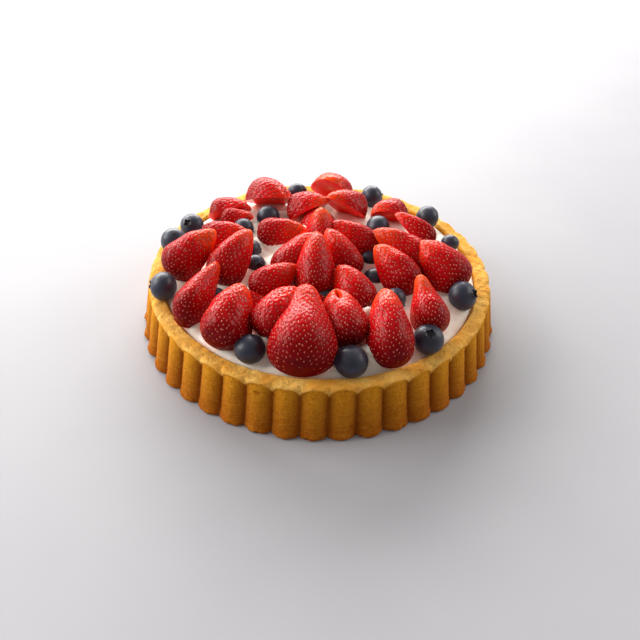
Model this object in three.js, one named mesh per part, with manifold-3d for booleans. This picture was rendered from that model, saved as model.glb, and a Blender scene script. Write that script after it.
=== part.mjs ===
// A round fluted tart: a shortcrust sponge case filled with white cream and heaped with halved
// strawberries and whole blueberries.
// Millimetres, Z up. The case rests on z = 0 with its axis on the Z axis, and its front is on the -Y side.
import * as THREE from 'three';
import { mergeVertices } from 'three/addons/utils/BufferGeometryUtils.js';
import Module from 'manifold-3d';

const wasm = await Module();
wasm.setup();

// The case. It was baked in a flared tin and turned out upside down, so its wall leans inwards going up.
const fluteCount = 44; // a flute is centred on the front
const pointsPerFlute = 6;
const footRadius = 85.5; // over the flutes, at the ground
const topRadius = 80.8; // over the flutes, where the upper edge starts to round off
const fluteDepth = 2.8;
const fluteFullness = 0.6; // below 1 gives broad flutes and narrow valleys
const caseHeight = 25;
const edgeRound = 2.8; // how far the upper edge rounds off inwards
const rimInner = 73.5; // radius of the opening
const wellRadius = 71; // radius of the floor of the shallow well
const wellFloor = 14;
const rimUneven = 0.45; // how far the top of the rim strays from level

// The cream
const creamGap = 0.35; // open line between cream and case
const creamEdge = caseHeight - 1.6; // height where it meets the rim
const creamRise = 7; // how much higher it stands in the middle
const creamTurns = 36;

// The berries
const pressGap = 0.6; // clearance left where two pieces press on each other, measured at the corners
const widestAt = 0.3; // share of a strawberry's length from its foot to its widest place
const berryRings = 7;
const berryArc = 7; // facets across the round back of a strawberry
const blueTurns = 9;
const blueFlatness = 0.9; // height of a blueberry as a share of its width

// Strawberry halves. Foot and tip are the ends of the cut face: x and y from the axis of the tart, and
// the height above the top of the case. Roll turns the round back about the line from foot to tip: at
// 0 it faces up and away from the way the tip leans. A cleft of so many mm parts the tip into two lobes,
// and a taper draws the fruit in below its tip by that share of its width.
const strawberries = [
  { foot: [-6, -73, 0], tip: [-5, -37, 19], width: 29, depth: 16, roll: 0, taper: 0.2 },
  { foot: [13, -55, 0], tip: [7, -37, 17], width: 22, depth: 14, roll: 0, cleft: 5 },
  { foot: [31, -66, 0], tip: [27.4, -37, 18.3], width: 20, depth: 13, roll: 0 },
  { foot: [50, -45, 0], tip: [43, -26, 18], width: 17, depth: 13, roll: -20, taper: 0.25 },
  { foot: [65.3, -12.5, 0], tip: [45.5, 0.7, 17.5], width: 22, depth: 12.5, roll: -15 },
  { foot: [41, -19, 0], tip: [25, -3.3, 17], width: 19, depth: 13, roll: 0 },
  { foot: [54, -2, 0], tip: [24.5, 8.5, 17.5], width: 18, depth: 12, roll: -10 },
  { foot: [54, 18, 1], tip: [36, 31, 13], width: 13, depth: 9, roll: 25 },
  { foot: [42, 42, 2], tip: [25, 34, 11], width: 18, depth: 11, roll: 50 },
  { foot: [19, 44, 1], tip: [2, 38, 16.5], width: 20.5, depth: 12, roll: 30 },
  { foot: [5, 65, 0], tip: [2, 58, 15.7], width: 24, depth: 12, roll: 0 },
  { foot: [-15, 42, 0], tip: [3, 37, 14.7], width: 19, depth: 12, roll: -25 },
  { foot: [0, 12, 4], tip: [-0.6, 18, 23], width: 15.5, depth: 11, roll: 0 },
  { foot: [-30, 20, 0], tip: [-7, 17.5, 10], width: 18, depth: 12, roll: 10 },
  { foot: [-18.5, -9.5, 0], tip: [-2, 2, 18.5], width: 19, depth: 13, roll: 25 },
  { foot: [-2, -25, 1], tip: [-2, -5, 24.3], width: 19, depth: 13, roll: 0 },
  { foot: [14, -8, 1], tip: [2.5, 2.5, 21], width: 16.5, depth: 13, roll: -10 },
  { foot: [25, 10, 0], tip: [4, 13, 17.5], width: 17, depth: 12.5, roll: -10 },
  { foot: [19, -31, 0], tip: [8, -19, 16.2], width: 19, depth: 13, roll: -10 },
  { foot: [-28, -25, 0], tip: [-10.3, -17.5, 14.5], width: 17, depth: 12, roll: 10 },
  { foot: [-20, -53, 0], tip: [-9.5, -38.5, 18.5], width: 24, depth: 14, roll: 0 },
  { foot: [-40, -59, 0], tip: [-32.5, -36, 17], width: 22, depth: 14, roll: 5 },
  { foot: [-58, -45.5, 0], tip: [-45, -19, 15.3], width: 15.5, depth: 13, roll: 10, taper: 0.15 },
  { foot: [-69, -10, 0], tip: [-48.5, 0, 19.5], width: 20, depth: 12.5, roll: 20 },
  { foot: [-45.5, -17, 0], tip: [-32.7, 1.5, 19.7], width: 18.5, depth: 13, roll: 0 },
  { foot: [-56, 14, 0], tip: [-34, 10, 11.5], width: 18, depth: 12, roll: 0 },
  { foot: [-57, 38, 1], tip: [-36, 36, 10], width: 17, depth: 10, roll: -50 },
  { foot: [-36, 55, 1], tip: [-17.3, 42, 13], width: 24, depth: 13.5, roll: -30, cleft: 2 },
  { foot: [-50, 31, 2], tip: [-34, 29, 9], width: 12, depth: 8, roll: 0 },
  { foot: [6, -33, 0], tip: [-16, -32, 3], width: 15, depth: 9, roll: 0 },
  { foot: [-3, 36, 0], tip: [1, 24, 8], width: 19, depth: 10, roll: 0 },
  { foot: [-38, -32, 0], tip: [-18, -33, 3], width: 14, depth: 9, roll: 0 },
];

// Blueberries: centre as above, size across, and the way the crown points, as a turn about the tart's
// axis and a tilt away from upright.
const blueberries = [
  { at: [-69, -25, 5.5], size: 13, turn: -90, tilt: 80 },
  { at: [-27, -62, 4], size: 13, turn: -45, tilt: 178 },
  { at: [14, -67, 4], size: 14, turn: 10, tilt: 178 },
  { at: [46, -53, 5], size: 13, turn: 0, tilt: 25 },
  { at: [64, -23, 5], size: 13.5, turn: 62, tilt: 56 },
  { at: [63, 18, 5.5], size: 9, turn: 0, tilt: 120 },
  { at: [54, 41, 5.5], size: 12, turn: 140, tilt: 130 },
  { at: [26, 60, 5], size: 12.5, turn: 120, tilt: 90 },
  { at: [28, 29, 6.5], size: 12, turn: 60, tilt: 160 },
  { at: [-14, 63, 4], size: 11, turn: 0, tilt: 100 },
  { at: [-27.5, 36, 5], size: 12, turn: 200, tilt: 100 },
  { at: [-65, 27, 4], size: 12, turn: -20, tilt: 45 },
  { at: [-71, 11, 5], size: 13, turn: 170, tilt: 110 },
  { at: [-39, 24, 5], size: 11, turn: 150, tilt: 120 },
  { at: [-33, 6, 5], size: 10, turn: 90, tilt: 100 },
  { at: [-30, -6, 5], size: 10, turn: 30, tilt: 60 },
  { at: [-45, -30, 4], size: 9.5, turn: 30, tilt: 80 },
  { at: [2, -29, 5.8], size: 9, turn: 160, tilt: 120 },
  { at: [33, -28, 5], size: 11.5, turn: 60, tilt: 120 },
  { at: [25, -12, 5], size: 10, turn: 0, tilt: 140 },
  { at: [23, 2, 5], size: 10, turn: 90, tilt: 110 },
  { at: [-4, 53, 4], size: 11, turn: 200, tilt: 60 },
];

const toSolid = (geometry) => {
  const bare = geometry.clone();
  bare.deleteAttribute('normal');
  bare.deleteAttribute('uv');
  const merged = mergeVertices(bare, 1e-4);
  return new wasm.Manifold(new wasm.Mesh({
    numProp: 3,
    vertProperties: Float32Array.from(merged.attributes.position.array),
    triVerts: Uint32Array.from(merged.index.array),
  }));
};

const toGeometry = (solid) => {
  const mesh = solid.getMesh();
  const geometry = new THREE.BufferGeometry();
  geometry.setAttribute('position', new THREE.BufferAttribute(mesh.vertProperties, 3));
  geometry.setIndex(new THREE.BufferAttribute(mesh.triVerts, 1));
  geometry.computeVertexNormals();
  return geometry;
};

// Joins rings of equal length into a closed skin, with a fan over each end.
const skinOfRings = (rings, firstPole, lastPole) => {
  const count = rings[0].length;
  const points = [firstPole, ...rings.flat(), lastPole];
  const faces = [];
  for (let i = 0; i < count; i += 1) {
    const next = (i + 1) % count;
    faces.push(0, 1 + next, 1 + i);
    for (let ring = 0; ring < rings.length - 1; ring += 1) {
      const low = 1 + ring * count;
      const high = low + count;
      faces.push(low + i, low + next, high + next);
      faces.push(low + i, high + next, high + i);
    }
    const top = 1 + (rings.length - 1) * count;
    faces.push(top + i, top + next, points.length - 1);
  }
  const geometry = new THREE.BufferGeometry();
  geometry.setAttribute('position', new THREE.Float32BufferAttribute(points.flat(), 3));
  geometry.setIndex(faces);
  return geometry;
};

// A ring of points round the Z axis, counted from the front. Radius and height may depend on the turn.
const ringOf = (count, radiusAt, heightAt) => {
  const ring = [];
  for (let i = 0; i < count; i += 1) {
    const turn = (i / count) * 2 * Math.PI;
    const radius = radiusAt(turn);
    ring.push([radius * Math.sin(turn), -radius * Math.cos(turn), heightAt(turn)]);
  }
  return ring;
};

// A slow wander between -1 and 1 round the tart, so that no two flutes come out quite alike.
const wander = (turn, start) => (
  0.5 * Math.sin(3 * turn + start)
  + 0.3 * Math.sin(7 * turn + 2.1 * start)
  + 0.2 * Math.sin(17 * turn + 0.7 * start)
);

// How far a flute falls back at this turn: 0 on its crest and 1 in the valley beside it.
const valleyAt = (turn) => 1 - Math.pow(Math.abs(Math.cos((fluteCount * turn) / 2)), fluteFullness);

// The wall of the well widens upwards.
const wallAt = (height) => {
  const slope = (rimInner - wellRadius) / (caseHeight - wellFloor);
  return wellRadius + slope * (height - wellFloor);
};

const makeCase = () => {
  // radius over the flutes, height, share of the flutes' depth, share of the rim's unevenness
  const profile = [
    [footRadius - 1.2, 0, 0.9, 0],
    [footRadius, 1, 1, 0],
    [topRadius, caseHeight - edgeRound, 1, 0.8],
    [topRadius - 0.3 * edgeRound, caseHeight - 0.3 * edgeRound, 0.8, 1],
    [topRadius - edgeRound, caseHeight, 0.3, 1],
  ];
  const rings = profile.map(([radius, height, share, uneven]) => ringOf(
    fluteCount * pointsPerFlute,
    (turn) => radius - fluteDepth * share * valleyAt(turn) + 0.3 * share * wander(turn, 4),
    (turn) => height + rimUneven * uneven * wander(turn, 1),
  ));
  const block = toSolid(skinOfRings(rings, [0, 0, 0], [0, 0, caseHeight]));
  const mouth = caseHeight + edgeRound;
  const well = skinOfRings([
    ringOf(creamTurns, () => wellRadius, () => wellFloor),
    ringOf(creamTurns, () => wallAt(mouth), () => mouth),
  ], [0, 0, wellFloor], [0, 0, mouth]);
  return block.subtract(toSolid(well));
};

const makeCream = () => {
  const edge = wallAt(creamEdge) - creamGap;
  const floor = wellFloor + creamGap;
  const heightAt = (radius) => creamEdge + creamRise * Math.cos((radius / edge) * (Math.PI / 2));
  const rings = [
    ringOf(creamTurns, () => wallAt(floor) - creamGap, () => floor),
    ringOf(creamTurns, () => wallAt(creamEdge - 0.8) - creamGap, () => creamEdge - 0.8),
  ];
  for (const share of [0.985, 0.88, 0.65, 0.35]) {
    const radius = share * edge;
    rings.push(ringOf(creamTurns, () => radius, (turn) => heightAt(radius) + 0.5 * wander(turn, 9 * share)));
  }
  return toSolid(skinOfRings(rings, [0, 0, floor], [0, 0, creamEdge + creamRise]));
};

// Half-width of a strawberry as a share of its widest, at a share of its length from foot to tip.
const outlineAt = (along, taper) => {
  if (along < widestAt) {
    return Math.pow(1 - Math.pow(1 - along / widestAt, 2.2), 0.5);
  }
  const share = (along - widestAt) / (1 - widestAt);
  const waist = 1 - taper * Math.sin(Math.PI * share * share);
  return waist * Math.pow(1 - Math.pow(share, 1.5), 0.56);
};

// A strawberry half: foot at the origin, tip along +Y, flat cut face on z = 0 and round back above it.
// A swollen half has fewer facets, as it only cuts room for the berry in its neighbours.
const makeHalf = ({ length, width, depth, cleft = 0, taper = 0 }, swell) => {
  const arc = swell > 0 ? berryArc - 1 : berryArc;
  const rings = [];
  for (let i = 1; i <= berryRings; i += 1) {
    const along = 0.5 - 0.5 * Math.cos((i / (berryRings + 1)) * Math.PI);
    const scale = outlineAt(along, taper);
    const groove = along > widestAt ? cleft * (1 - scale) : 0;
    const ring = [];
    for (let k = 0; k <= arc; k += 1) {
      const angle = (k / arc) * Math.PI;
      ring.push([
        -((scale * width) / 2 + swell) * Math.cos(angle),
        along * (length + 2 * swell) - swell - groove * Math.sin(angle) ** 6,
        scale * depth * Math.sin(angle) + swell * (2 * Math.sin(angle) - 1),
      ]);
    }
    rings.push(ring);
  }
  const tip = [0, length + swell - 0.7 * cleft, 0.15 * depth];
  return toSolid(skinOfRings(rings, [0, -swell, 0.15 * depth], tip));
};

// A blueberry: a slightly flattened ball, with a star-shaped crown round a shallow cup at +Z.
const makeBlue = (size, swell) => {
  const radius = size / 2 + swell;
  const flat = blueFlatness * radius;
  const rings = [-52, -14, 24, 56].map((latitude) => {
    const angle = THREE.MathUtils.degToRad(latitude);
    return ringOf(blueTurns, () => radius * Math.cos(angle), () => flat * Math.sin(angle));
  });
  const rim = 1.05 * flat + swell;
  if (swell > 0) {
    rings.push(ringOf(blueTurns, () => 0.38 * radius + swell, () => rim));
    return toSolid(skinOfRings(rings, [0, 0, -flat], [0, 0, rim + 0.1]));
  }
  const point = (turn) => Math.cos((turn * blueTurns) / 2);
  rings.push(ringOf(blueTurns, (turn) => (0.31 + 0.05 * point(turn)) * radius, () => rim));
  rings.push(ringOf(blueTurns, () => 0.2 * radius, () => 0.88 * flat));
  return toSolid(skinOfRings(rings, [0, 0, -flat], [0, 0, 0.86 * flat]));
};

const overCase = ([x, y, z]) => new THREE.Vector3(x, y, z + caseHeight);

const placeStrawberry = (berry, swell) => {
  const foot = overCase(berry.foot);
  const tip = overCase(berry.tip);
  const axis = tip.clone().sub(foot).normalize();
  const side = axis.clone().cross(new THREE.Vector3(0, 0, 1)).normalize();
  const back = side.clone().cross(axis);
  const frame = new THREE.Matrix4().makeBasis(side, axis, back);
  frame.multiply(new THREE.Matrix4().makeRotationY(THREE.MathUtils.degToRad(berry.roll)));
  frame.setPosition(foot);
  return makeHalf({ ...berry, length: foot.distanceTo(tip) }, swell).transform(frame.elements);
};

const placeBlue = (berry, swell) => {
  const frame = new THREE.Matrix4().makeRotationZ(THREE.MathUtils.degToRad(berry.turn));
  frame.multiply(new THREE.Matrix4().makeRotationX(THREE.MathUtils.degToRad(berry.tilt)));
  frame.setPosition(overCase(berry.at));
  return makeBlue(berry.size, swell).transform(frame.elements);
};

const boxesMeet = (one, two) => {
  const a = one.boundingBox();
  const b = two.boundingBox();
  return [0, 1, 2].every((k) => a.min[k] < b.max[k] && b.min[k] < a.max[k]);
};

const group = new THREE.Group();
group.name = 'fruit_tart';

const addPart = (name, solid, color, roughness) => {
  const material = new THREE.MeshStandardMaterial({ color, roughness, metalness: 0 });
  const mesh = new THREE.Mesh(toGeometry(solid), material);
  mesh.name = name;
  group.add(mesh);
};

const numbered = (kind, index) => `${kind}_${String(index + 1).padStart(2, '0')}`;

const pieces = [
  ...strawberries.map((berry, index) => ({
    name: numbered('strawberry', index),
    color: 0xb01018,
    roughness: 0.35,
    solid: placeStrawberry(berry, 0),
    swollen: placeStrawberry(berry, pressGap),
  })),
  ...blueberries.map((berry, index) => ({
    name: numbered('blueberry', index),
    color: 0x2a3148,
    roughness: 0.55,
    solid: placeBlue(berry, 0),
    swollen: placeBlue(berry, pressGap),
  })),
];

// Each berry gives way to those listed before it and to the case, and the cream gives way to them all.
const crust = makeCase();
let cream = makeCream();
pieces.forEach((piece, index) => {
  let { solid } = piece;
  for (const earlier of pieces.slice(0, index)) {
    if (boxesMeet(solid, earlier.swollen)) {
      solid = solid.subtract(earlier.swollen);
    }
  }
  cream = cream.subtract(piece.swollen);
  addPart(piece.name, solid.subtract(crust), piece.color, piece.roughness);
});
addPart('crust', crust, 0xd49a3e, 0.85);
addPart('cream', cream, 0xefe4dc, 0.5);

export default group;
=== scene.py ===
# A fluted sponge tart filled with white cream and heaped with halved strawberries and blueberries.
# Metres, Z up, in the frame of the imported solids. Sizes in the dictionaries are millimetres, but the
# floor, the lights and the camera are in metres.
import math

import bpy
import numpy as np
from mathutils import Matrix, Vector, kdtree, noise


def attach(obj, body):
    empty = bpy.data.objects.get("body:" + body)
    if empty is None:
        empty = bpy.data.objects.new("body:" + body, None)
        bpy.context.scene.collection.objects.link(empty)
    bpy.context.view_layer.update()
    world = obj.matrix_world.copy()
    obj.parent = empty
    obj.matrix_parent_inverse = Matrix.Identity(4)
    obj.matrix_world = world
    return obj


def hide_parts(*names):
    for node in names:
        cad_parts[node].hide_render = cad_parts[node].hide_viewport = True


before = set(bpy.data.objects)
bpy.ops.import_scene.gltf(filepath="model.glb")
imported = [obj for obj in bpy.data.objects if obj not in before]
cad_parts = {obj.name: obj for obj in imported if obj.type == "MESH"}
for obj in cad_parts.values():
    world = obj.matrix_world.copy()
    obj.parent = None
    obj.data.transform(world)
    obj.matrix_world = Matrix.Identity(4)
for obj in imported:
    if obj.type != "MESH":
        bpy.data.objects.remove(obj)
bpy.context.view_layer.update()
mm = 0.001


# Working with meshes

def clearSelection():
    bpy.ops.object.select_all(action="DESELECT")


def selectOnly(piece):
    clearSelection()
    piece.select_set(True)
    bpy.context.view_layer.objects.active = piece


def readPoints(mesh):
    flat = np.empty(len(mesh.vertices) * 3, np.float32)
    mesh.vertices.foreach_get("co", flat)
    return flat.reshape(-1, 3).astype(float)


def readNormals(mesh):
    flat = np.empty(len(mesh.vertices) * 3, np.float32)
    mesh.vertex_normals.foreach_get("vector", flat)
    return flat.reshape(-1, 3).astype(float)


def writePoints(mesh, points):
    mesh.vertices.foreach_set("co", points.astype(np.float32).ravel())
    mesh.update()


def writeAttribute(mesh, name, values):
    layer = mesh.attributes.get(name) or mesh.attributes.new(name, "FLOAT", "POINT")
    layer.data.foreach_set("value", np.asarray(values, np.float32))


def addObject(name, data):
    made = bpy.data.objects.new(name, data)
    bpy.context.scene.collection.objects.link(made)
    return made


def selectFaces(piece, wanted):
    selectOnly(piece)
    bpy.ops.object.mode_set(mode="EDIT")
    bpy.ops.mesh.select_mode(type="FACE")
    bpy.ops.mesh.select_all(action="DESELECT")
    bpy.ops.object.mode_set(mode="OBJECT")
    for face in piece.data.polygons:
        face.select = wanted(face)


def smoothStep(low, high, values):
    # 0 up to low and 1 from high on, eased at both ends; low may be the greater
    share = np.clip((values - low) / (high - low), 0, 1)
    return share * share * (3 - 2 * share)


def softLumps(points, size, seed, waves=7):
    # a slow, seeded unevenness between about -1 and 1, with lumps of this size
    dice = np.random.default_rng(seed)
    total = np.zeros(len(points))
    for _ in range(waves):
        direction = dice.normal(size=3)
        direction *= 2 * math.pi * dice.uniform(0.7, 1.4) / (size * np.linalg.norm(direction))
        total += np.sin(points @ direction + dice.uniform(0, 2 * math.pi))
    return total / math.sqrt(waves) / 1.4


def crumbNoise(points, size, octaves, offset=0.0):
    # fractal noise round 0, read further along for another offset
    shift = Vector((offset, 1.7 * offset, -offset))
    return np.array([noise.fractal(Vector(p) / size + shift, 1.0, 2.0, octaves) for p in points])


def spinOutline(name, outline, steps):
    # turns an outline of (radius, height) pairs, from axis to axis, about the Z axis
    mesh = bpy.data.meshes.new(name)
    points = [(radius * mm, 0, height * mm) for radius, height in outline]
    mesh.from_pydata(points, [(i, i + 1) for i in range(len(points) - 1)], [])
    piece = addObject(name, mesh)
    selectOnly(piece)
    bpy.ops.object.mode_set(mode="EDIT")
    bpy.ops.mesh.select_all(action="SELECT")
    bpy.ops.mesh.spin(steps=steps, angle=2 * math.pi, center=(0, 0, 0), axis=(0, 0, 1))
    bpy.ops.mesh.select_all(action="SELECT")
    bpy.ops.mesh.remove_doubles(threshold=0.01 * mm)
    bpy.ops.mesh.normals_make_consistent(inside=False)
    bpy.ops.object.mode_set(mode="OBJECT")
    return piece


def between(start, end, spacing):
    # points from start to end, start left out, no further apart than the spacing
    (r0, z0), (r1, z1) = start, end
    count = max(1, math.ceil(math.hypot(r1 - r0, z1 - z0) / spacing))
    return [(r0 + (r1 - r0) * i / count, z0 + (z1 - z0) * i / count) for i in range(1, count + 1)]


def planGap(points, at):
    # distance from each point to this one, seen from above
    return np.hypot(points[:, 0] - at[0], points[:, 1] - at[1])


def dress(piece, body, slot, nodes, *materials):
    # gives a piece its materials and the solids that it stands in for
    for material in materials:
        piece.data.materials.append(material)
    piece.data.shade_smooth()
    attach(piece, body)
    if nodes:
        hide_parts(*nodes)


# Working with materials

def tint(red, green, blue):
    # a colour given as it shows on a screen, 0 to 255
    channels = [value / 255 for value in (red, green, blue)]
    linear = [c / 12.92 if c < 0.04045 else ((c + 0.055) / 1.055) ** 2.4 for c in channels]
    return (*linear, 1)


class Wire:
    # a value on its way through a material; sums written with it add their Math nodes
    def __init__(self, finish, socket):
        self.finish = finish
        self.socket = socket

    def __add__(self, other):
        return self.finish.sum("ADD", self, other)

    __radd__ = __add__

    def __sub__(self, other):
        return self.finish.sum("SUBTRACT", self, other)

    def __rsub__(self, other):
        return self.finish.sum("SUBTRACT", other, self)

    def __mul__(self, other):
        return self.finish.sum("MULTIPLY", self, other)

    __rmul__ = __mul__


class Finish:
    # one material, built up from nodes
    def __init__(self, name):
        self.material = bpy.data.materials.new(name)
        self.material.use_nodes = True
        self.tree = self.material.node_tree
        self.tree.nodes.clear()

    def node(self, kind, settings=None, values=None, output=0):
        made = self.tree.nodes.new("ShaderNode" + kind)
        for key, value in (settings or {}).items():
            if key == "stops":
                self.setStops(made.color_ramp, value)
            else:
                setattr(made, key, value)
        for key, value in (values or {}).items():
            if isinstance(value, Wire):
                self.tree.links.new(value.socket, made.inputs[key])
            else:
                made.inputs[key].default_value = value
        return Wire(self, made.outputs[output])

    def setStops(self, ramp, stops):
        while len(ramp.elements) > 1:
            ramp.elements.remove(ramp.elements[-1])
        ramp.elements[0].position, ramp.elements[0].color = stops[0]
        for place, colour in stops[1:]:
            ramp.elements.new(place).color = colour

    def sum(self, operation, first, second):
        return self.node("Math", {"operation": operation}, {0: first, 1: second})

    def place(self):
        return self.node("TexCoord", output="Object")

    def height(self):
        return self.node("SeparateXYZ", values={0: self.place()}, output="Z")

    def painted(self, name):
        return self.node("Attribute", {"attribute_name": name}, output="Fac")

    def grain(self, size, detail=2.0, roughness=0.5, distortion=0.0, squeeze=(1, 1, 1)):
        # noise between 0 and 1 whose lumps are about this many millimetres, squeezed along each axis
        spot = self.node("VectorMath", {"operation": "MULTIPLY"}, {0: self.place(), 1: squeeze})
        values = {"Vector": spot, "Scale": 1 / (size * mm), "Detail": detail,
                  "Roughness": roughness, "Distortion": distortion}
        return self.node("TexNoise", values=values, output="Fac")

    def cells(self, size):
        # distance from the middle of the nearest cell, cells about this many millimetres apart
        values = {"Vector": self.place(), "Scale": 1 / (size * mm)}
        return self.node("TexVoronoi", values=values, output="Distance")

    def fade(self, value, low, high):
        # 0 where the value is under low, 1 over high, with an even slope between
        values = {"Value": value, "From Min": low, "From Max": high}
        return self.node("MapRange", {"clamp": True}, values)

    def blend(self, share, under, over):
        return self.node("Mix", {"data_type": "RGBA"}, {0: share, 6: under, 7: over}, output=2)

    def bump(self, relief, depth):
        # relief of this many millimetres from low to high
        return self.node("Bump", values={"Height": relief, "Distance": depth * mm, "Strength": 1.0})

    def done(self, values):
        surface = self.node("BsdfPrincipled", values=values)
        end = self.tree.nodes.new("ShaderNodeOutputMaterial")
        self.tree.links.new(surface.socket, end.inputs["Surface"])
        return self.material


# The sponge case

case = {
    "flutes": 44,
    "stepsPerFlute": 22,
    "footRadius": 85.1,
    "topRadius": 80.9,
    "height": 25.0,
    "fluteDepth": 3.0,
    "fullness": 0.6,  # under 1 gives broad flutes and narrow valleys
    "lean": 0.12,  # how far the flutes stray from their even places
    "ripple": 0.05,
    "swell": 0.3,
    "footRound": 0.8,
    "underside": 9.0,  # width of the ring of finer facets under the foot
    "edgeRound": 2.4,
    "edgeSteps": 9,
    "archTop": 0.75,  # how far under the top the flutes end on a crest
    "archDrop": 4.4,  # and how much lower in a valley
    "archUneven": 0.35,
    "ledge": 0.55,  # how far the flutes stand back under the arched edge of the rim
    "rimInner": 73.5,
    "rimUneven": 0.45,
    "rimLumps": (0.22, 6.0),  # height and size
    "wellRadius": 71.0,
    "wellFloor": 14.0,
    "facet": 0.55,
    "crumb": 0.2,  # depth of the open crumb that shows in the outline
    "crumbSize": 1.3,
    "coarseSize": 3.4,
    "coarseShare": 0.6,
    "footCrumb": 0.44,  # the ragged lower edge
    "footHeight": 3.2,
    "pit": 0.5,
    "topBand": 1.2,  # this near the top the crumb stands up more than out
    "topOut": 0.35,
    "topUp": 1.3,
}

# Scars where the sponge stuck to the tin: degrees from the front, height, half-sizes and depth.
caseScars = [
    {"turn": -16.5, "up": 19.5, "wide": 2.1, "high": 1.0, "deep": 0.5},
    {"turn": -11.5, "up": 19.2, "wide": 0.9, "high": 0.8, "deep": 0.4},
    {"turn": 10.5, "up": 6.0, "wide": 0.8, "high": 0.9, "deep": 0.6},
    {"turn": 9.0, "up": 24.0, "wide": 1.0, "high": 0.8, "deep": 0.4},
]


def sourceWander(turn, start):
    # the slow unevenness round the tart that the solid case has too
    slow = 0.5 * np.sin(3 * turn + start)
    return slow + 0.3 * np.sin(7 * turn + 2.1 * start) + 0.2 * np.sin(17 * turn + 0.7 * start)


def caseOutline(c):
    shoulder = (c["topRadius"], c["height"] - c["edgeRound"])
    outline = [(0, 0)]
    outline += between((0, 0), (c["footRadius"] - c["underside"], 0), 30)
    outline += between(outline[-1], (c["footRadius"] - c["footRound"], 0), 1.5)
    outline += between(outline[-1], (c["footRadius"], c["footRound"]), c["facet"])
    outline += between(outline[-1], shoulder, c["facet"])
    for i in range(1, c["edgeSteps"] + 1):
        angle = math.pi / 2 * i / c["edgeSteps"]
        outline.append((shoulder[0] - c["edgeRound"] * (1 - math.cos(angle)),
                        shoulder[1] + c["edgeRound"] * math.sin(angle)))
    # over the rim, round its inner edge and down to the floor of the well
    outline += between(outline[-1], (c["rimInner"] + 0.5, c["height"]), c["facet"])
    outline += [(c["rimInner"], c["height"] - 0.5)]
    outline += between(outline[-1], (c["rimInner"] - 0.7, c["height"] - 4), 0.7)
    outline += between(outline[-1], (c["wellRadius"], c["wellFloor"]), 3)
    outline += [(0, c["wellFloor"])]
    return outline


def caseCrumb(c, points, turn, radius, height):
    # how far the open crumb stands out: coarser at the ragged foot, with pits and a few scars
    shown = (height > 0.05) & (radius > c["rimInner"] - 2)
    crumb = np.zeros(len(points))
    fine = crumbNoise(points[shown], c["crumbSize"], 3)
    coarse = crumbNoise(points[shown], c["coarseSize"], 2, 5.0)
    crumb[shown] = fine + c["coarseShare"] * coarse
    foot = smoothStep(c["footHeight"], 0.2, height) * smoothStep(0.0, 0.3, height)
    outward = crumb * (c["crumb"] + c["footCrumb"] * foot) - c["pit"] * np.clip(crumb - 0.35, 0, 1)
    for scar in caseScars:
        across = (turn - math.radians(scar["turn"])) * radius / scar["wide"]
        gap = np.hypot(across, (height - scar["up"]) / scar["high"])
        outward -= np.where(radius > c["topRadius"] - 3, scar["deep"] * smoothStep(1.0, 0.55, gap), 0)
    return outward


def makeCase(c, material):
    piece = spinOutline("spongeCase", caseOutline(c), c["flutes"] * c["stepsPerFlute"])
    mesh = piece.data
    points = readPoints(mesh) / mm
    turn = np.arctan2(points[:, 0], -points[:, 1])
    radius = np.hypot(points[:, 0], points[:, 1])
    height = points[:, 2].copy()
    top = c["height"]
    inward = (points[:, :2] * -1 / np.maximum(radius, 1e-6)[:, None])
    # valley is 0 on the crest of a flute and 1 between two; each flute strays a little from its place
    drift = c["lean"] * sourceWander(turn, 2.0) + c["ripple"] * np.sin(height / 6 + 9 * np.sin(turn))
    wave = np.abs(np.cos((c["flutes"] * turn + drift) / 2))
    valley = 1 - wave ** c["fullness"]
    # share is how much of the fluting each height has: all at the foot, less on the rounded edge
    outer = smoothStep(c["topRadius"] - c["edgeRound"] - 3.2, c["topRadius"] - 0.2, radius)
    fluted = smoothStep(top + 0.4, top - 5.0, height + 2.2 * valley ** 2)
    share = np.where(radius > c["rimInner"] - 1, outer * (0.5 + 0.5 * fluted), 0)
    under = smoothStep(c["footRadius"] - 8, c["footRadius"] - 1, radius)
    share = np.where(height < 0.4, under, share)
    # the flutes end in arches under the rim
    arch = top - c["archTop"] - c["archDrop"] * valley ** 1.4 + c["archUneven"] * sourceWander(turn, 6.0)
    panel = smoothStep(0.35, -0.35, height - arch) * smoothStep(1.0, 4.0, height)
    swell = c["swell"] * sourceWander(turn, 4.0) * share
    lumpHeight, lumpSize = c["rimLumps"]
    level = c["rimUneven"] * sourceWander(turn, 1.0) + lumpHeight * softLumps(points, lumpSize, 11)
    level *= smoothStep(top - 7, top - 1, height)
    outward = caseCrumb(c, points, turn, radius, height)
    nearTop = height > top - c["topBand"]
    fall = c["fluteDepth"] * share * valley - swell - outward * np.where(nearTop, c["topOut"], 1)
    fall += np.where(radius > c["topRadius"] - 2.2, c["ledge"] * panel, 0)
    points[:, :2] += inward * fall[:, None]
    points[:, 2] += level + np.where(nearTop, outward * c["topUp"], 0)
    points[:, 2] = np.maximum(points[:, 2], 0)
    writePoints(mesh, points * mm)
    # valley depth of the fluting, read by the sponge finish to paint shade into the flutes
    writeAttribute(mesh, "valley", valley * share)
    # how far the crumb is sunk in, read by the sponge finish to paint shade into its pits and scars
    writeAttribute(mesh, "pit", np.clip(-outward * 1.6, 0, 1))
    writeAttribute(mesh, "rim", smoothStep(-0.7, 0.9, height - arch))
    dress(piece, "root", "crust", ["crust"], material)


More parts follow.
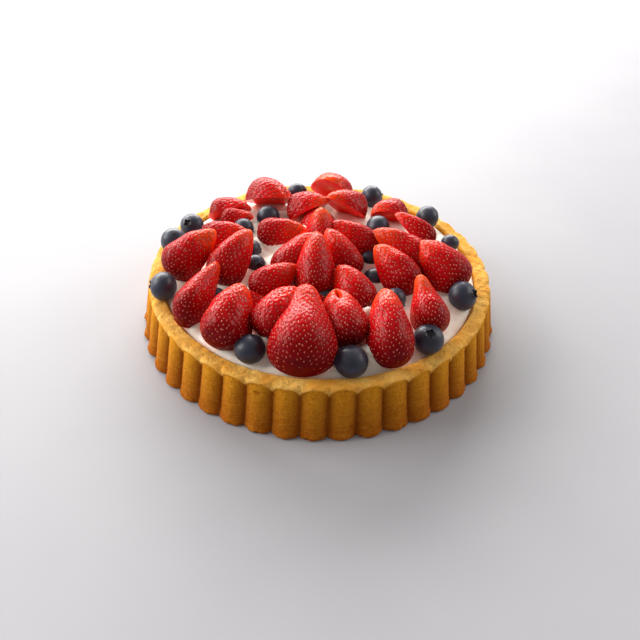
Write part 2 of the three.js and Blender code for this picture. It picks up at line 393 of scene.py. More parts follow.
def spongeFinish():
    f = Finish("bakedSponge")
    up = f.height() * (1 / (case["height"] * mm))
    blotch = f.grain(9, 3.0)
    crumb = f.grain(0.9, 5.0, 0.65)
    fine = f.grain(0.35, 3.0, 0.6)
    streaks = f.grain(1.0, 3.0, 0.55, 0.0, (0.22, 0.22, 1.4))
    pores = f.fade(f.cells(1.5), 0.32, 0.12)
    rim = f.painted("rim")
    tall = f.fade(up + (blotch - 0.5) * 0.35, -0.05, 0.85)
    wall = f.blend(tall, tint(172, 86, 6), tint(220, 144, 24))
    wall = f.blend(f.fade(streaks, 0.5, 0.72) * 0.3, wall, tint(236, 172, 56))
    wall = f.blend(f.fade(streaks, 0.5, 0.3) * 0.22, wall, tint(158, 82, 6))
    top = f.blend(f.fade(blotch, 0.35, 0.65), tint(240, 166, 62), tint(248, 194, 98))
    colour = f.blend(f.fade(rim + (blotch - 0.5) * 0.4, 0.2, 0.8), wall, top)
    # painted shade: darker down the flute valleys below the rim
    colour = f.blend(f.fade(f.painted("valley"), 0.05, 0.75) * (1 - rim) * 0.8, colour, tint(144, 68, 4))
    colour = f.blend(f.fade(crumb, 0.52, 0.72) * (0.12 + rim * 0.3), colour, tint(244, 196, 104))
    colour = f.blend(f.fade(crumb, 0.46, 0.28) * 0.4, colour, tint(166, 92, 14))
    # painted shade in the pores of the crumb
    colour = f.blend(pores * f.fade(fine, 0.4, 0.6) * 0.5, colour, tint(130, 66, 8))
    # painted shade in the sunken pits and scars of the crumb
    colour = f.blend(f.painted("pit") * 0.6, colour, tint(146, 76, 12))
    relief = crumb * 0.6 + fine * 0.25 + (1 - pores) * 0.35 + streaks * (1 - rim) * 0.35
    return f.done({
        "Base Color": colour,
        "Roughness": 0.78 + crumb * 0.2,
        "Subsurface Weight": 0.08,
        "Subsurface Radius": (1.0, 0.4, 0.1),
        "Subsurface Scale": 1.5 * mm,
        "Specular IOR Level": 0.12,
        "Normal": f.bump(relief, 0.4),
    })


# The cream

cream = {
    "rimGap": 0.2,
    "edgeDrop": 1.6,  # how far below the rim it meets the case
    "rise": 7.0,
    "domeEdge": 0.994,  # where the dome begins, as a share of the well's radius
    "steps": 300,
    "facet": 0.8,
    "lumps": ((0.9, 17, 3), (0.35, 6, 4)),  # height, size and seed
    "uneven": 0.35,
    "settle": 0.3,  # how far all of it is let down, to keep within the solid
    "cling": 1.8,  # how far it climbs a berry that presses into it
    "clingReach": 2.2,
    "halfSpan": (0.15, 0.75),  # the part of a half that presses in, as shares of its length
    "halfPress": 0.42,  # and how far to each side, as a share of its width
    "bluePress": 0.46,
}

# Crests pushed up between the berries.
crests = [
    {"at": (22, -61), "size": 5.5, "rise": 7.0},
    {"at": (20, -43), "size": 6.0, "rise": 7.5},
    {"at": (-21, -58), "size": 5.0, "rise": 5.0},
    {"at": (-38, -61), "size": 6.0, "rise": 1.6},
    {"at": (-51, -48), "size": 6.0, "rise": 2.0},
    {"at": (55, -26), "size": 7.0, "rise": 3.0},
    {"at": (36, -60), "size": 5.0, "rise": 1.5},
]


def berryGap(c, points):
    # how far each point is from the nearest berry, seen from above
    nearest = np.full(len(points), 99.0)
    for berry in halves:
        foot, tip = np.array(berry["foot"][:2], float), np.array(berry["tip"][:2], float)
        span = tip - foot
        offset = points[:, :2] - foot
        along = np.clip((offset @ span) / (span @ span), *c["halfSpan"])
        gap = np.linalg.norm(offset - along[:, None] * span, axis=1)
        nearest = np.minimum(nearest, gap - c["halfPress"] * berry["width"])
    for berry in blues:
        nearest = np.minimum(nearest, planGap(points, berry["at"]) - c["bluePress"] * berry["size"])
    return nearest


def makeCream(c, material):
    floor = case["wellFloor"] + c["rimGap"]
    edge = case["height"] - c["edgeDrop"]
    slope = (case["rimInner"] - case["wellRadius"]) / (case["height"] - case["wellFloor"])
    wall = case["rimInner"] - slope * c["edgeDrop"] - c["rimGap"]
    outline = [(0, floor), (wall - slope * (edge - floor), floor)]
    outline += [(wall - 0.4, edge - 1.2), (wall, edge - 0.7)]
    rows = round(wall / c["facet"])
    for i in range(rows + 1):
        radius = wall * c["domeEdge"] * (1 - i / rows)
        outline.append((radius, edge + c["rise"] * math.cos(radius / wall * math.pi / 2)))
    piece = spinOutline("creamFilling", outline, c["steps"])
    mesh = piece.data
    points = readPoints(mesh) / mm
    turn = np.arctan2(points[:, 0], -points[:, 1])
    radius = np.hypot(points[:, 0], points[:, 1])
    # only the top moves, and less so near the case
    top = points[:, 2] > edge - 0.9
    inside = smoothStep(wall, wall - 4, radius)
    swell = c["uneven"] * sourceWander(turn, 8.0)
    for high, size, seed in c["lumps"]:
        swell += high * softLumps(points * [1, 1, 0], size, seed) * inside
    climb = c["cling"] * np.exp(-np.clip(berryGap(c, points), 0, None) / c["clingReach"])
    climb *= smoothStep(wall + 0.5, wall - 3, radius)
    for crest in crests:
        gap = planGap(points, crest["at"]) / crest["size"]
        swell += crest["rise"] * np.exp(-gap * gap) * smoothStep(wall - 0.5, wall - 6, radius)
    points[:, 2] += np.where(top, swell + climb - c["settle"], 0)
    writePoints(mesh, points * mm)
    dress(piece, "root", "cream", ["cream"], material)


def creamFinish():
    f = Finish("whippedCream")
    soft = f.grain(7, 3.0)
    fine = f.grain(0.8, 4.0, 0.6)
    colour = f.blend(f.fade(soft, 0.35, 0.7), tint(252, 241, 227), tint(247, 228, 209))
    colour = f.blend(f.fade(fine, 0.55, 0.75) * 0.3, colour, tint(254, 249, 242))
    return f.done({
        "Base Color": colour,
        "Roughness": 0.42 + fine * 0.2,
        "Subsurface Weight": 0.35,
        "Subsurface Radius": (1.0, 0.75, 0.55),
        "Subsurface Scale": 2.5 * mm,
        "Specular IOR Level": 0.45,
        "Normal": f.bump(soft * 0.7 + fine * 0.3, 0.25),
    })


# The strawberries

# Foot and tip are the ends of the cut face, with heights over the top of the case, as in the solids.
# Roll is in degrees, cleft parts the tip and taper draws the berry in below it. Warm is how far the
# tip is painted orange and not red, a painted glow of light shining through it from behind, dimple how
# deep the skin is drawn in round a seed, and seedGap the space between seeds.
halves = [
    {"foot": (-6, -73, 0), "tip": (-5, -37, 19), "width": 29, "depth": 16, "taper": 0.2},
    {"foot": (13, -55, 0), "tip": (7, -37, 17),
     "width": 22, "depth": 14, "cleft": 5, "warm": 0.5, "dimple": 0.23},
    {"foot": (31, -66, 0), "tip": (27.4, -37, 18.3), "width": 20, "depth": 13, "warm": 0.9},
    {"foot": (50, -45, 0), "tip": (43, -26, 18),
     "width": 17, "depth": 13, "roll": -20, "taper": 0.25, "warm": 1.3},
    {"foot": (65.3, -12.5, 0), "tip": (45.5, 0.7, 17.5),
     "width": 22, "depth": 12.5, "roll": -15, "warm": 0.5},
    {"foot": (41, -19, 0), "tip": (25, -3.3, 17), "width": 19, "depth": 13, "warm": 0.8},
    {"foot": (54, -2, 0), "tip": (24.5, 8.5, 17.5), "width": 18, "depth": 12, "roll": -10, "warm": 0.8},
    {"foot": (54, 18, 1), "tip": (36, 31, 13), "width": 13, "depth": 9, "roll": 25, "warm": 0.3},
    {"foot": (42, 42, 2), "tip": (25, 34, 11), "width": 18, "depth": 11, "roll": 50, "warm": 0.6},
    {"foot": (19, 44, 1), "tip": (2, 38, 16.5),
     "width": 20.5, "depth": 12, "roll": 30, "warm": 0.7, "dimple": 0.25},
    {"foot": (5, 65, 0), "tip": (2, 58, 15.7), "width": 24, "depth": 12, "warm": 1.2},
    {"foot": (-15, 42, 0), "tip": (3, 37, 14.7), "width": 19, "depth": 12, "roll": -25, "warm": 0.6},
    {"foot": (0, 12, 4), "tip": (-0.6, 18, 23), "width": 15.5, "depth": 11, "warm": 1.0},
    {"foot": (-30, 20, 0), "tip": (-7, 17.5, 10),
     "width": 18, "depth": 12, "roll": 10, "warm": 1.0, "dimple": 0.34},
    {"foot": (-18.5, -9.5, 0), "tip": (-2, 2, 18.5),
     "width": 19, "depth": 13, "roll": 25, "warm": 0.4, "dimple": 0.32},
    {"foot": (-2, -25, 1), "tip": (-2, -5, 24.3), "width": 19, "depth": 13, "warm": 0.4},
    {"foot": (14, -8, 1), "tip": (2.5, 2.5, 21),
     "width": 16.5, "depth": 13, "roll": -10, "warm": 0.4, "dimple": 0.28},
    {"foot": (25, 10, 0), "tip": (4, 13, 17.5),
     "width": 17, "depth": 12.5, "roll": -10, "warm": 0.2, "dimple": 0.37},
    {"foot": (19, -31, 0), "tip": (8, -19, 16.2), "width": 19, "depth": 13, "roll": -10, "dimple": 0.23},
    {"foot": (-28, -25, 0), "tip": (-10.3, -17.5, 14.5),
     "width": 17, "depth": 12, "roll": 10, "warm": 0.4, "dimple": 0.32},
    {"foot": (-20, -53, 0), "tip": (-9.5, -38.5, 18.5),
     "width": 24, "depth": 14, "seedGap": 2.4, "dimple": 0.41},
    {"foot": (-40, -59, 0), "tip": (-32.5, -36, 17), "width": 22, "depth": 14, "roll": 5, "warm": 0.6},
    {"foot": (-58, -45.5, 0), "tip": (-45, -19, 15.3),
     "width": 15.5, "depth": 13, "roll": 10, "taper": 0.15, "warm": 0.6},
    {"foot": (-69, -10, 0), "tip": (-48.5, 0, 19.5),
     "width": 20, "depth": 12.5, "roll": 20, "warm": 1.0, "dimple": 0.32},
    {"foot": (-45.5, -17, 0), "tip": (-32.7, 1.5, 19.7), "width": 18.5, "depth": 13, "warm": 0.9},
    {"foot": (-56, 14, 0), "tip": (-34, 10, 11.5),
     "width": 18, "depth": 12, "warm": 0.4, "seedGap": 2.3, "dimple": 0.39},
    {"foot": (-57, 38, 1), "tip": (-36, 36, 10),
     "width": 17, "depth": 10, "roll": -50, "warm": 0.2, "seedGap": 2.3, "dimple": 0.34},
    {"foot": (-36, 55, 1), "tip": (-17.3, 42, 13),
     "width": 24, "depth": 13.5, "roll": -30, "cleft": 2, "warm": 0.3, "dimple": 0.34},
    {"foot": (-50, 31, 2), "tip": (-34, 29, 9), "width": 12, "depth": 8, "warm": 0.3, "dimple": 0.32},
    {"foot": (6, -33, 0), "tip": (-16, -32, 3), "width": 15, "depth": 9},
    {"foot": (-3, 36, 0), "tip": (1, 24, 8), "width": 19, "depth": 10},
    {"foot": (-38, -32, 0), "tip": (-18, -33, 3), "width": 14, "depth": 9},
]

fruit = {
    "widestAt": 0.3,  # share of the length from the foot
    "facets": (96, 100),  # round the back, and along
    "fineFacets": (150, 140),
    "fineFrom": 27,  # berries at least this wide get the finer mesh
    "insets": (0.02, 0.05, 0.08, 0.1, 0.12, 0.14, 0.16),  # between the rings of the cut face
    "uneven": 0.3,
    "inset": 0.15,  # how far the skin is drawn in, to keep within the solid
    "hollow": 0.9,  # how far the middle of the cut face lies back
    "hollowUneven": 0.12,
    "warm": 0.35,
    "dimple": 0.3,
    "dimpleWide": 0.62,  # as a share of half the gap
    "seedGap": 2.2,
    "stray": 0.14,  # how far a seed strays from its place, as a share of the gap
    "seedSpan": (0.03, 0.985),  # the share of the length that carries seeds
    "seedMargin": 0.07,  # the angle left free beside the cut
    "seed": (0.6, 1.0, 0.4),  # across, along and through
    "seedSpread": (0.85, 1.15),
    "seedLean": 0.35,
    "seedOut": 0.06,
}


def halfOutline(along, taper):
    # half-width as a share of the widest, the same curve as the solids have
    widest = fruit["widestAt"]
    foot = np.sqrt(np.clip(1 - np.clip(1 - along / widest, 0, 1) ** 2.2, 0, 1))
    share = np.clip((along - widest) / (1 - widest), 0, 1)
    tip = (1 - taper * np.sin(math.pi * share * share)) * np.clip(1 - share ** 1.5, 0, 1) ** 0.56
    return np.where(along < widest, foot, tip)


def makeHalfBlank(name, facets):
    # half a ball of radius 1: foot at -Y, tip at +Y, cut face on z = 0 with rings running in to its middle
    around, rings = facets
    clearSelection()
    bpy.ops.mesh.primitive_uv_sphere_add(segments=2 * around, ring_count=rings, radius=1,
                                         location=(0, 0, 0), rotation=(-math.pi / 2, 0, 0))
    blank = bpy.context.object
    blank.name = name
    bpy.ops.object.transform_apply(location=True, rotation=True, scale=True)
    bpy.ops.object.mode_set(mode="EDIT")
    bpy.ops.mesh.select_all(action="SELECT")
    bpy.ops.mesh.bisect(plane_co=(0, 0, 0), plane_no=(0, 0, 1), use_fill=True, clear_inner=True)
    bpy.ops.object.mode_set(mode="OBJECT")
    selectFaces(blank, lambda face: abs(face.normal.z) > 0.999 and abs(face.center.z) < 1e-4)
    bpy.ops.object.mode_set(mode="EDIT")
    for inset in fruit["insets"]:
        bpy.ops.mesh.inset(thickness=inset)
    bpy.ops.mesh.poke()
    bpy.ops.object.mode_set(mode="OBJECT")
    return blank


def halfMatrix(berry):
    # the turn from the blank to its place in the tart, the foot, and the length from foot to tip
    foot = Vector(berry["foot"]) + Vector((0, 0, case["height"]))
    tip = Vector(berry["tip"]) + Vector((0, 0, case["height"]))
    axis = (tip - foot).normalized()
    side = axis.cross(Vector((0, 0, 1))).normalized()
    back = side.cross(axis)
    rolled = Matrix.Rotation(math.radians(berry.get("roll", 0)), 3, "Y")
    turned = Matrix((side, axis, back)).transposed() @ rolled
    return np.array(turned), np.array(foot), (tip - foot).length


def nearestOf(points, others):
    # for each point the nearest of the others: its place, its number and how far off it is
    tree = kdtree.KDTree(len(others))
    for number, other in enumerate(others):
        tree.insert(other, number)
    tree.balance()
    return [tree.find(point) for point in points]


def shapeHalf(unit, berry, length):
    # carries points of the blank to the berry's own size, in millimetres
    ring = np.sqrt(np.clip(1 - unit[:, 1] ** 2, 1e-8, 1))
    along = (1 + unit[:, 1]) / 2
    scale = halfOutline(along, berry.get("taper", 0))
    lift = unit[:, 2] / ring
    groove = np.where(along > fruit["widestAt"], berry.get("cleft", 0) * (1 - scale), 0)
    shaped = np.empty_like(unit)
    shaped[:, 0] = unit[:, 0] / ring * scale * berry["width"] / 2
    shaped[:, 1] = along * length - groove * np.clip(lift, 0, 1) ** 6
    shaped[:, 2] = lift * scale * berry["depth"]
    return shaped


def seedPlaces(berry, length, gap, dice):
    # seeds on a loose spiral round the whole fruit, spaced evenly over its skin; the half keeps its own
    steps = np.linspace(0.0, 1.0, 400)
    spread = np.cumsum(halfOutline(steps, berry.get("taper", 0)) + 0.12)
    spread /= spread[-1]
    # as many as an even triangular pattern of this gap would put on the skin
    skin = 0.75 * math.pi * (berry["width"] / 2 + berry["depth"]) * length
    count = int(skin / (0.866 * gap * gap))
    number = np.arange(count)
    along = np.interp((number + 0.5) / count, spread, steps)
    angle = (number * math.pi * (3 - math.sqrt(5))) % (2 * math.pi)
    along += dice.normal(0, fruit["stray"] * gap / length, count)
    angle += dice.normal(0, fruit["stray"] * gap / (berry["width"] / 2), count)
    lowest, highest = fruit["seedSpan"]
    keep = (angle > fruit["seedMargin"]) & (angle < math.pi - fruit["seedMargin"])
    keep &= (along > lowest) & (along < highest)
    along, angle = along[keep], angle[keep]
    across = np.sqrt(1 - (2 * along - 1) ** 2)
    return np.column_stack((across * np.cos(angle), 2 * along - 1, across * np.sin(angle)))


def seedShape():
    # points and faces of a small drop of radius 1, along Y, slimmer towards its upper end
    rings, sides = (-0.62, 0.1, 0.68), 6
    shape = [(0.0, -1.0, 0.0)]
    for level in rings:
        wide = math.sqrt(1 - level * level) * (0.85 if level > 0.5 else 1)
        for k in range(sides):
            angle = 2 * math.pi * k / sides
            shape.append((wide * math.cos(angle), level, wide * math.sin(angle)))
    shape.append((0.0, 1.0, 0.0))
    last = len(shape) - 1
    faces = []
    for k in range(sides):
        after = (k + 1) % sides
        faces.append((0, 1 + k, 1 + after))
        for row in range(len(rings) - 1):
            low, high = 1 + row * sides, 1 + (row + 1) * sides
            faces.append((low + k, high + k, high + after, low + after))
        top = 1 + (len(rings) - 1) * sides
        faces.append((last, top + after, top + k))
    return np.array(shape), faces


def addSeeds(places, normals, dice):
    # one flattened drop for each seed, lying along the fruit
    shape, faces = seedShape()
    axis = np.array((0.0, 1.0, 0.0))
    points, allFaces = [], []
    for spot, normal in zip(places, normals):
        forward = axis - normal * (axis @ normal)
        forward /= np.linalg.norm(forward)
        side = np.cross(forward, normal)
        lean = dice.uniform(-fruit["seedLean"], fruit["seedLean"])
        forward, side = (forward * math.cos(lean) + side * math.sin(lean),
                         side * math.cos(lean) - forward * math.sin(lean))
        size = [value / 2 * dice.uniform(*fruit["seedSpread"]) for value in fruit["seed"]]
        start = len(points) * len(shape)
        points.append((shape * size) @ np.array([side, forward, normal]) + spot)
        allFaces += [tuple(start + v for v in face) for face in faces]
    return np.concatenate(points), allFaces


def makeHalf(index, berry, blank, materials):
    name = "strawberryHalf_%02d" % (index + 1)
    turned, foot, length = halfMatrix(berry)
    gap = berry.get("seedGap", fruit["seedGap"])
    dice = np.random.default_rng(100 + index)
    mesh = blank.data.copy()
    mesh.name = name
    unit = readPoints(mesh)
    shaped = shapeHalf(unit, berry, length)
    back = unit[:, 2] > 1e-4
    writePoints(mesh, shaped)
    normals = readNormals(mesh)
    # a slow unevenness, faded out towards the cut
    uneven = fruit["uneven"] * softLumps(shaped, 11, 40 + index) * smoothStep(0.0, 3.0, shaped[:, 2])
    shaped += normals * (uneven - fruit["inset"] * back)[:, None]
    # the skin swells between its seeds and is drawn in round each of them
    seeds = shapeHalf(seedPlaces(berry, length, gap, dice), berry, length)
    smooth = shapeHalf(unit, berry, length)
    rows = np.flatnonzero(back)
    near = np.full(len(unit), 9.0)
    near[rows] = [away for _, _, away in nearestOf(smooth[rows], seeds)]
    closest = rows[[number for _, number, _ in nearestOf(seeds, smooth[rows])]]
    deep = berry.get("dimple", fruit["dimple"])
    pit = np.exp(-(near / (fruit["dimpleWide"] * gap / 2)) ** 2)
    pit *= smoothStep(0.0, 0.9, shaped[:, 2]) * back
    shaped -= normals * (deep * pit)[:, None]
    # the cut face lies slightly back towards its core
    core = np.clip(1 - np.hypot(unit[:, 0], unit[:, 1]), 0, 1)
    flat = ~back & (core > 0.015)
    hollow = fruit["hollow"] * smoothStep(0.35, 0.9, core[flat])
    shaped[flat, 2] += hollow + fruit["hollowUneven"] * softLumps(shaped[flat], 5, 70 + index)
    seedPoints, seedFaces = addSeeds(shaped[closest] + normals[closest] * fruit["seedOut"],
                                     normals[closest], dice)
    # skin, cut face and seeds become one mesh in three materials
    faces = [tuple(face.vertices) for face in mesh.polygons]
    slots = [1 if face.normal.z < -0.9 and face.center.z < 1e-3 else 0 for face in mesh.polygons]
    faces += [tuple(vertex + len(shaped) for vertex in face) for face in seedFaces]
    slots += [2] * len(seedFaces)
    allPoints = np.concatenate((shaped, seedPoints)) @ turned.T + foot
    whole = bpy.data.meshes.new(name)
    whole.from_pydata((allPoints * mm).tolist(), [], faces)
    whole.polygons.foreach_set("material_index", slots)
    bpy.data.meshes.remove(mesh)
    onSeeds = np.zeros(len(seedPoints))
    writeAttribute(whole, "along", np.concatenate(((1 + unit[:, 1]) / 2, onSeeds + 0.5)))
    # the dimple depth, read by the skin finish to paint shade into the dimples
    writeAttribute(whole, "pit", np.concatenate((pit, onSeeds)))
    writeAttribute(whole, "core", np.concatenate((core, onSeeds)))
    # how strongly each berry's tip gets its painted glow of light shining through from behind
    writeAttribute(whole, "warm", np.full(len(allPoints), berry.get("warm", fruit["warm"])))
    piece = addObject(name, whole)
    dress(piece, "root", "strawberry", ["strawberry_%02d" % (index + 1)], *materials)


def skinFinish():
    f = Finish("strawberrySkin")
    blotch = f.grain(8, 3.0)
    fine = f.grain(1.2, 4.0, 0.6)
    pit = f.painted("pit")
    along = f.painted("along")
    # painted light and shade: darker wine red at the foot by the cream, brighter red towards the lit tip
    shadedFootLitTip = f.fade(along + (blotch - 0.5) * 0.35, 0.05, 0.75)
    colour = f.blend(shadedFootLitTip, tint(112, 0, 9), tint(212, 4, 8))
    # painted glow: the tip turns orange as if lit through from behind
    tip = f.fade(along + (blotch - 0.5) * 0.25, 0.66, 1.0) * f.painted("warm")
    colour = f.blend(f.fade(tip, 0.0, 1.0), colour, tint(242, 78, 18))
    colour = f.blend(f.fade(fine, 0.5, 0.8) * 0.2, colour, tint(222, 30, 22))
    # painted shade in the dimples round the seeds
    colour = f.blend(pit * 0.75, colour, tint(112, 2, 10))
    return f.done({
        "Base Color": colour,
        "Roughness": 0.4 + fine * 0.12,
        "Subsurface Weight": 0.25,
        "Subsurface Radius": (1.0, 0.05, 0.02),
        "Subsurface Scale": 2.5 * mm,
        "Specular IOR Level": 0.03,
        "Coat Weight": 0.12 + f.fade(along, 0.05, 0.7) * 0.27,
        "Coat Roughness": 0.2,
        "Coat IOR": 1.45,
        "Normal": f.bump(fine, 0.06),
    })


def fleshFinish():
    f = Finish("strawberryFlesh")
    fine = f.grain(0.7, 4.0, 0.6)
    blotch = f.grain(5, 3.0)
    core = f.painted("core") + (blotch - 0.5) * 0.16
    colour = f.node("ValToRGB", {"stops": [
        (0.0, tint(226, 10, 8)), (0.12, tint(236, 14, 10)), (0.5, tint(238, 30, 18)),
        (0.8, tint(240, 70, 44)), (0.98, tint(242, 130, 98))]}, {"Fac": core})
    colour = f.blend(f.fade(fine, 0.5, 0.8) * 0.25, colour, tint(244, 92, 60))
    # painted glow: an orange edge round the cut face, as if light shone through the thin skin there
    edge = f.fade(f.painted("core"), 0.07, 0.0) * f.painted("warm")
    colour = f.blend(f.fade(edge, 0.0, 1.0) * 0.8, colour, tint(240, 96, 40))
    return f.done({
        "Base Color": colour,
        "Roughness": 0.24 + fine * 0.2,
        "Subsurface Weight": 0.45,
        "Subsurface Radius": (1.0, 0.12, 0.06),
        "Subsurface Scale": 4.0 * mm,
        "Specular IOR Level": 0.12,
        "Coat Weight": 0.2,
        "Coat Roughness": 0.15,
        "Coat IOR": 1.3,
        "Normal": f.bump(fine * 0.6 + blotch * 0.4, 0.2),
    })


def seedFinish():
    f = Finish("strawberrySeed")
    mix = f.grain(2.2, 2.0)
    colour = f.blend(f.fade(mix, 0.35, 0.65), tint(230, 120, 84), tint(200, 68, 48))
    return f.done({
        "Base Color": colour,
        "Roughness": 0.35 + mix * 0.2,
        "Specular IOR Level": 0.5,
        "Normal": f.bump(f.grain(0.2, 2.0), 0.04),
    })


# The blueberries

# Centre as in the solids, size across, and the way the crown points.
blues = [
    {"at": (-69, -25, 5.5), "size": 13, "turn": -90, "tilt": 80},
    {"at": (-27, -62, 4), "size": 13, "turn": -45, "tilt": 178},
    {"at": (14, -67, 4), "size": 14, "turn": 10, "tilt": 178},
    {"at": (46, -53, 5), "size": 13, "turn": 0, "tilt": 25},
    {"at": (64, -23, 5), "size": 13.5, "turn": 62, "tilt": 56},
    {"at": (63, 18, 5.5), "size": 9, "turn": 0, "tilt": 120},
    {"at": (54, 41, 5.5), "size": 12, "turn": 140, "tilt": 130},
    {"at": (26, 60, 5), "size": 12.5, "turn": 120, "tilt": 90},
    {"at": (28, 29, 6.5), "size": 12, "turn": 60, "tilt": 160},
    {"at": (-14, 63, 4), "size": 11, "turn": 0, "tilt": 100},
    {"at": (-27.5, 36, 5), "size": 12, "turn": 200, "tilt": 100},
    {"at": (-65, 27, 4), "size": 12, "turn": -20, "tilt": 45},
    {"at": (-71, 11, 5), "size": 13, "turn": 170, "tilt": 110},
    {"at": (-39, 24, 5), "size": 11, "turn": 150, "tilt": 120},
    {"at": (-33, 6, 5), "size": 10, "turn": 90, "tilt": 100},
    {"at": (-30, -6, 5), "size": 10, "turn": 30, "tilt": 60},
    {"at": (-45, -30, 4), "size": 9.5, "turn": 30, "tilt": 80},
    {"at": (2, -29, 5.8), "size": 9, "turn": 160, "tilt": 120},
    {"at": (33, -28, 5), "size": 11.5, "turn": 60, "tilt": 120},
    {"at": (25, -12, 5), "size": 10, "turn": 0, "tilt": 140},
    {"at": (23, 2, 5), "size": 10, "turn": 90, "tilt": 110},
    {"at": (-4, 53, 4), "size": 11, "turn": 200, "tilt": 60},
]

ball = {
    "facets": (60, 44),
    "flatness": 0.9,  # height as a share of the width
    "crown": 0.36,  # radius of the crown as a share of the berry's
    "crownSteps": (  # rise and shrinking of each ring, up the crown and down into its cup
        (0.02, 0.96), (0.05, 0.97), (0.03, 0.96), (0.0, 0.93), (-0.04, 0.94), (-0.09, 0.95),
        (-0.08, 0.88), (-0.02, 0.7), (0.0, 0.55), (0.01, 0.4)),
    "crownHeight": 0.1,
    "lobes": 5,
    "lobeOut": 0.16,  # how far a lobe leans out, and stands up
    "lobeUp": 0.035,
    "uneven": 0.012,
    "fit": 0.992,  # shrinks it a little, to keep within the solid
}


def makeBlueBlank():
    # a ball of radius 1 with a five-lobed crown round a shallow cup at its top
    around, rings = ball["facets"]
    clearSelection()
    bpy.ops.mesh.primitive_uv_sphere_add(segments=around, ring_count=rings, radius=1, location=(0, 0, 0))
    blank = bpy.context.object
    blank.name = "blueberryBlank"
    rim = math.sqrt(1 - ball["crown"] ** 2)
    selectFaces(blank, lambda face: face.center.z > rim)
    bpy.ops.object.mode_set(mode="EDIT")
    bpy.ops.mesh.delete(type="FACE")
    bpy.ops.object.mode_set(mode="OBJECT")
    mesh = blank.data
    edge = max(vertex.co.z for vertex in mesh.vertices) - 1e-4
    for vertex in mesh.vertices:
        vertex.select = vertex.co.z > edge
    bpy.ops.object.mode_set(mode="EDIT")
    bpy.ops.mesh.select_mode(type="VERT")
    for lift, shrink in ball["crownSteps"]:
        bpy.ops.mesh.extrude_region_move(TRANSFORM_OT_translate={"value": (0, 0, lift)})
        bpy.ops.transform.resize(value=(shrink, shrink, 1), center_override=(0, 0, 0))
    bpy.ops.mesh.merge(type="CENTER")
    bpy.ops.object.mode_set(mode="OBJECT")
    points = readPoints(mesh)
    radius = np.hypot(points[:, 0], points[:, 1])
    turn = np.arctan2(points[:, 1], points[:, 0])
    crown = (points[:, 2] > 0.6) & (radius < ball["crown"] + 0.02)
    # star is 1 on a lobe and -1 between two, raised is 0 at the crown's foot and 1 at its edge
    star = np.cos(ball["lobes"] * turn)
    raised = np.clip((points[:, 2] - rim) / ball["crownHeight"], 0, 1)
    rimShare = smoothStep(0.12, 0.3, radius) * crown
    points[:, :2] *= (1 + ball["lobeOut"] * (star * rimShare * raised))[:, None]
    points[:, 2] += ball["lobeUp"] * star * rimShare * raised
    cup = smoothStep(ball["crown"] * 0.95, ball["crown"] * 0.6, radius) * (points[:, 2] > 0)
    writePoints(mesh, points)
    writeAttribute(mesh, "crown", np.clip(rimShare * raised + cup, 0, 1))
    writeAttribute(mesh, "cup", cup)
    return blank


def makeBlue(index, berry, blank, material):
    name = "blueberryWhole_%02d" % (index + 1)
    mesh = blank.data.copy()
    mesh.name = name
    points = readPoints(mesh)
    radius = berry["size"] / 2
    lumps = 1 + ball["uneven"] * softLumps(points, 1.3, 200 + index)
    points *= lumps[:, None] * [1, 1, ball["flatness"]]
    points *= ball["fit"] * radius
    turned = Matrix.Rotation(math.radians(berry["turn"]), 3, "Z")
    turned = turned @ Matrix.Rotation(math.radians(berry["tilt"]), 3, "X")
    centre = np.array(berry["at"], float) + [0, 0, case["height"]]
    writePoints(mesh, (points @ np.array(turned).T + centre) * mm)
    piece = addObject(name, mesh)
    dress(piece, "root", "blueberry", ["blueberry_%02d" % (index + 1)], material)


def blueFinish():
    f = Finish("blueberrySkin")
    cloud = f.grain(4.5, 4.0, 0.6, 0.4)
    fine = f.grain(0.5, 3.0)
    crown = f.painted("crown")
    bloom = f.fade(cloud, 0.3, 0.72)
    colour = f.blend(bloom, tint(10, 10, 17), tint(40, 42, 68))
    colour = f.blend(f.fade(fine, 0.55, 0.75) * 0.15, colour, tint(80, 82, 108))
    colour = f.blend(crown * 0.7, colour, tint(30, 26, 34))
    # the cup inside the crown: partly its own dark colour and partly painted shade in the hollow
    colour = f.blend(f.painted("cup") * 0.85, colour, tint(12, 10, 13))
    return f.done({
        "Base Color": colour,
        "Roughness": 0.42 + bloom * 0.2,
        "Specular IOR Level": 0.5,
        "Sheen Weight": 0.12,
        "Sheen Roughness": 0.5,
        "Sheen Tint": (0.7, 0.75, 1.0, 1.0),
        "Coat Weight": 0.2,
        "Coat Roughness": 0.22,
        "Normal": f.bump(fine * 0.4 + cloud * 0.6, 0.08),
    })


# The floor, the lights and the camera

ground = {
    "size": 6,
    "tints": (tint(172, 171, 175), tint(180, 179, 182)),
    "haze": 60,  # millimetres
}


def floorFinish():
    f = Finish("paleFloor")
    haze = f.grain(ground["haze"], 2.0)
    return f.done({
        "Base Color": f.blend(haze, *ground["tints"]),
        "Roughness": 0.6,
        "Specular IOR Level": 0.3,
    })


def makeFloor():
    clearSelection()
    bpy.ops.mesh.primitive_plane_add(size=ground["size"], location=(0, 0, 0))
    floor = bpy.context.object
    floor.name = "floor"
    floor.data.materials.append(floorFinish())


lamps = {
    "window": {"at": (-0.3, 1.05, 0.52), "size": (1.6, 0.5), "power": 35, "colour": (1.0, 0.99, 0.97)},
    "leftSide": {"at": (-1.0, 0.1, 0.55), "size": (0.8, 0.7), "power": 13, "colour": (1.0, 0.99, 0.98)},
    "rightSide": {"at": (0.95, 0.25, 0.6), "size": (0.7, 0.6), "power": 5, "colour": (1.0, 0.99, 0.98)},
}

studio = {
    "target": (0, 0, 0.02),  # where the lamps point
    "air": (1.0, 0.98, 0.97, 1),
    "airStrength": 0.31,
}


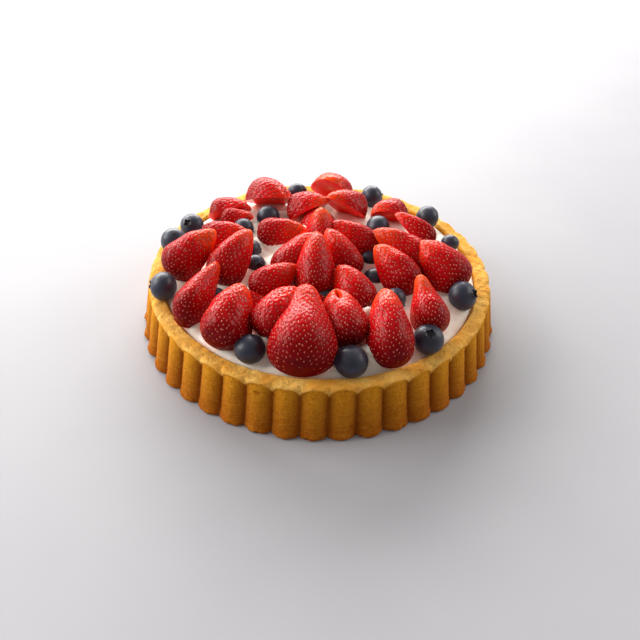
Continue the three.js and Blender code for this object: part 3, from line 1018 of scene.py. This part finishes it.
def makeLights():
    target = Vector(studio["target"])
    for name, light in lamps.items():
        data = bpy.data.lights.new(name, "AREA")
        data.shape = "RECTANGLE"
        data.size, data.size_y = light["size"]
        data.energy = light["power"]
        data.color = light["colour"]
        lamp = addObject(name, data)
        lamp.location = light["at"]
        lamp.rotation_euler = (target - Vector(light["at"])).to_track_quat("-Z", "Y").to_euler()
    world = bpy.data.worlds.new("studioAir")
    world.use_nodes = True
    air = world.node_tree.nodes["Background"]
    air.inputs["Color"].default_value = studio["air"]
    air.inputs["Strength"].default_value = studio["airStrength"]
    bpy.context.scene.world = world


# Fitted to the photo.
camera = {
    "at": (0.0009, -0.2695, 0.2220),
    "lookDown": 40.34,  # degrees
    "roll": 2.23,
    "focalPixels": 700,
    "framePixels": 640,
    "sensor": 36,  # millimetres
}


def makeCamera(c):
    data = bpy.data.cameras.new("camera")
    data.sensor_width = c["sensor"]
    data.lens = c["sensor"] * c["focalPixels"] / c["framePixels"]
    data.clip_start = 0.01
    seen = addObject("camera", data)
    lookUp = Matrix.Rotation(math.radians(90 - c["lookDown"]), 4, "X")
    rolled = Matrix.Rotation(math.radians(c["roll"]), 4, "Z")
    seen.matrix_world = Matrix.Translation(c["at"]) @ lookUp @ rolled
    bpy.context.scene.camera = seen


makeCamera(camera)
makeLights()
makeFloor()
print("camera, lights and floor are in place")

makeCase(case, spongeFinish())
print("case is baked")
makeCream(cream, creamFinish())
print("cream is in")

halfMaterials = (skinFinish(), fleshFinish(), seedFinish())
plainBlank = makeHalfBlank("halfBlank", fruit["facets"])
fineBlank = makeHalfBlank("fineHalfBlank", fruit["fineFacets"])
for index, berry in enumerate(halves):
    makeHalf(index, berry, fineBlank if berry["width"] >= fruit["fineFrom"] else plainBlank, halfMaterials)
for blank in (plainBlank, fineBlank):
    bpy.data.objects.remove(blank)
print("strawberries are laid")

blueMaterial = blueFinish()
blueBlank = makeBlueBlank()
for index, berry in enumerate(blues):
    makeBlue(index, berry, blueBlank, blueMaterial)
bpy.data.objects.remove(blueBlank)
print("blueberries are laid")

bpy.context.scene.view_settings.view_transform = "Standard"
